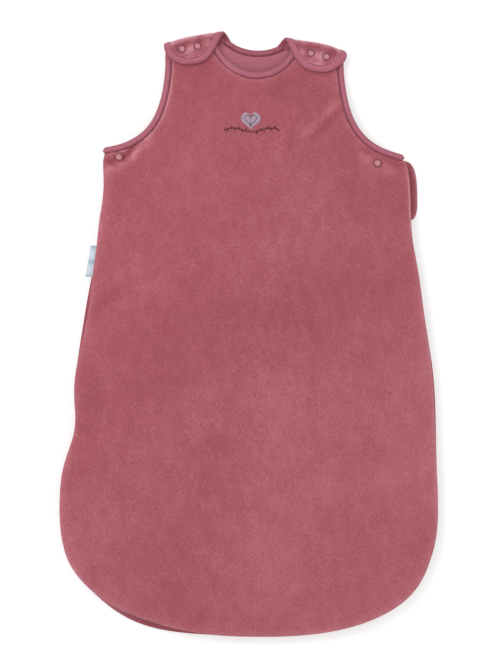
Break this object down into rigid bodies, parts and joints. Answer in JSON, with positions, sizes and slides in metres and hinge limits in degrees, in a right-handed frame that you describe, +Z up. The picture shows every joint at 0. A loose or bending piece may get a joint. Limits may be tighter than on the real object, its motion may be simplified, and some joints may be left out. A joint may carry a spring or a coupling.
{
  "type": "baby sleeping bag",
  "caption": "Padded sleeveless sleeping bag for a baby, with a rounded foot, shoulder tabs on press studs, underarm studs and a zip round one side and the hem.",
  "frame": {"origin": "middle of the bag's plan box, on the surface that its back lies on", "axes": "+Y from the hem to the shoulders, +X towards the side with the zip (the wearer's left), +Z up out of the front"},
  "size_m": [0.438, 0.7, 0.0338],
  "materials": {
    "velvet": "short-pile velvet",
    "jersey": "smooth jersey lining",
    "wadding": "polyester wadding",
    "binding": "bias binding",
    "neck_band": "velvet neck band",
    "zip_tape": "woven zip tape",
    "zip_coil": "nylon coil",
    "zip_metal": "painted die-cast",
    "press_stud": "moulded press stud",
    "woven_label": "woven ribbon label",
    "thread": "satin-stitch embroidery"
  },
  "bodies": {
    "root": {"back_shell": "velvet", "back_wadding": "wadding", "back_lining": "jersey", "back_neck_binding": "neck_band", "left_back_armhole_binding": "binding", "right_back_armhole_binding": "binding", "front_shell": "velvet", "front_wadding": "wadding", "front_lining": "jersey", "front_neck_binding": "binding", "left_armhole_binding": "binding", "right_armhole_binding": "binding", "left_shoulder_fold": "velvet", "right_shoulder_fold": "velvet", "left_strap_studs": "press_stud", "right_strap_studs": "press_stud", "underarm_caps": "press_stud", "underarm_sockets": "press_stud", "underarm_studs": "press_stud", "side_gusset": "velvet", "zip_tape_back": "zip_tape", "zip_tape_top": "zip_tape", "zip_chain_back": "zip_coil", "zip_chain_top": "zip_coil", "zip_top_stop": "zip_coil", "zip_end_stop": "zip_coil", "zip_guard": "velvet", "side_label": "woven_label", "embroidery": "thread"},
    "front_flap": {"flap_shell": "velvet", "flap_wadding": "wadding", "flap_lining": "jersey", "zip_tape_front": "zip_tape", "zip_chain_front": "zip_coil"},
    "left_tab": {"left_tab_shell": "velvet", "left_tab_wadding": "wadding", "left_tab_lining": "jersey", "left_tab_binding": "binding", "left_tab_caps": "press_stud", "left_tab_sockets": "press_stud"},
    "right_tab": {"right_tab_shell": "velvet", "right_tab_wadding": "wadding", "right_tab_lining": "jersey", "right_tab_binding": "binding", "right_tab_caps": "press_stud", "right_tab_sockets": "press_stud"},
    "slider": {"zip_slider": "zip_metal"},
    "pull": {"zip_pull": "zip_metal"}
  },
  "joints": [
    {"name": "front_open", "type": "hinge", "parent": "root", "child": "front_flap", "pos_m": [0.18518, 0.15372, 0.035], "axis": [-0.6267, -0.7793, 0], "range_deg": [0, 160]},
    {"name": "left_tab_open", "type": "hinge", "parent": "root", "child": "left_tab", "pos_m": [-0.02579, 0.34362, 0.007], "axis": [-0.985, -0.1724, 0], "range_deg": [0, 150], "deforming": ["left_shoulder_fold"]},
    {"name": "right_tab_open", "type": "hinge", "parent": "root", "child": "right_tab", "pos_m": [0.03846, 0.33701, 0.007], "axis": [-0.9756, 0.2195, 0], "range_deg": [0, 150], "deforming": ["right_shoulder_fold"]},
    {"name": "zip_slide", "type": "slide", "parent": "root", "child": "slider", "axis": [0.1497, -0.9887, 0], "range_m": [0, 0.2048]},
    {"name": "pull_swing", "type": "hinge", "parent": "slider", "child": "pull", "pos_m": [0.17973, 0.18535, 0.01005], "axis": [0, 0, 1], "range_deg": [0, 165]}
  ]
}
